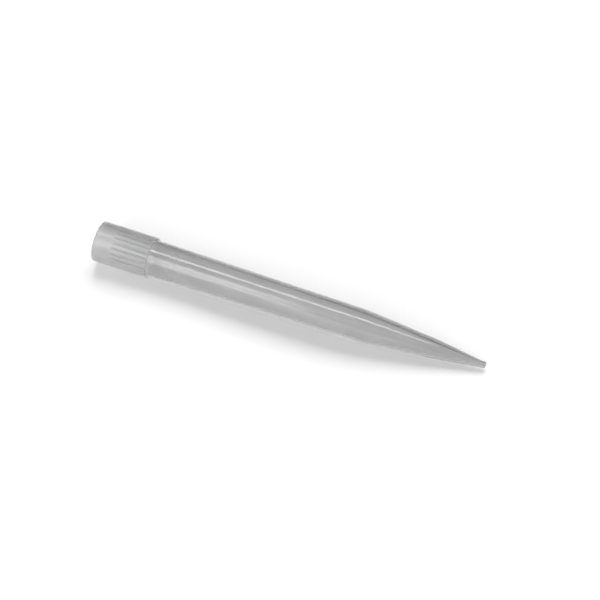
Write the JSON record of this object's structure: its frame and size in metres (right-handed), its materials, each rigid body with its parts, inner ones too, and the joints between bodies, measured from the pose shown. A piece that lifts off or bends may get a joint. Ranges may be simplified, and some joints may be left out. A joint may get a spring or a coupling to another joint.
{
  "type": "pipette tip",
  "caption": "Long 5 mL pipette tip in natural polypropylene, with a grooved collar, a nozzle socket and a fine open end.",
  "frame": {"origin": "centre of the mouth rim's plane, where the tip stands on its mouth", "axes": "+Z along the bore's axis, from the mouth towards the fine end; +X and +Y are alike, each through the middle of a grip groove"},
  "size_m": [0.0154, 0.0154, 0.15],
  "materials": {
    "natural_polypropylene": "moulded natural polypropylene, milky and translucent, with a smooth satin gloss"
  },
  "bodies": {
    "root": {"pipette_tip": "natural_polypropylene"}
  },
  "joints": []
}
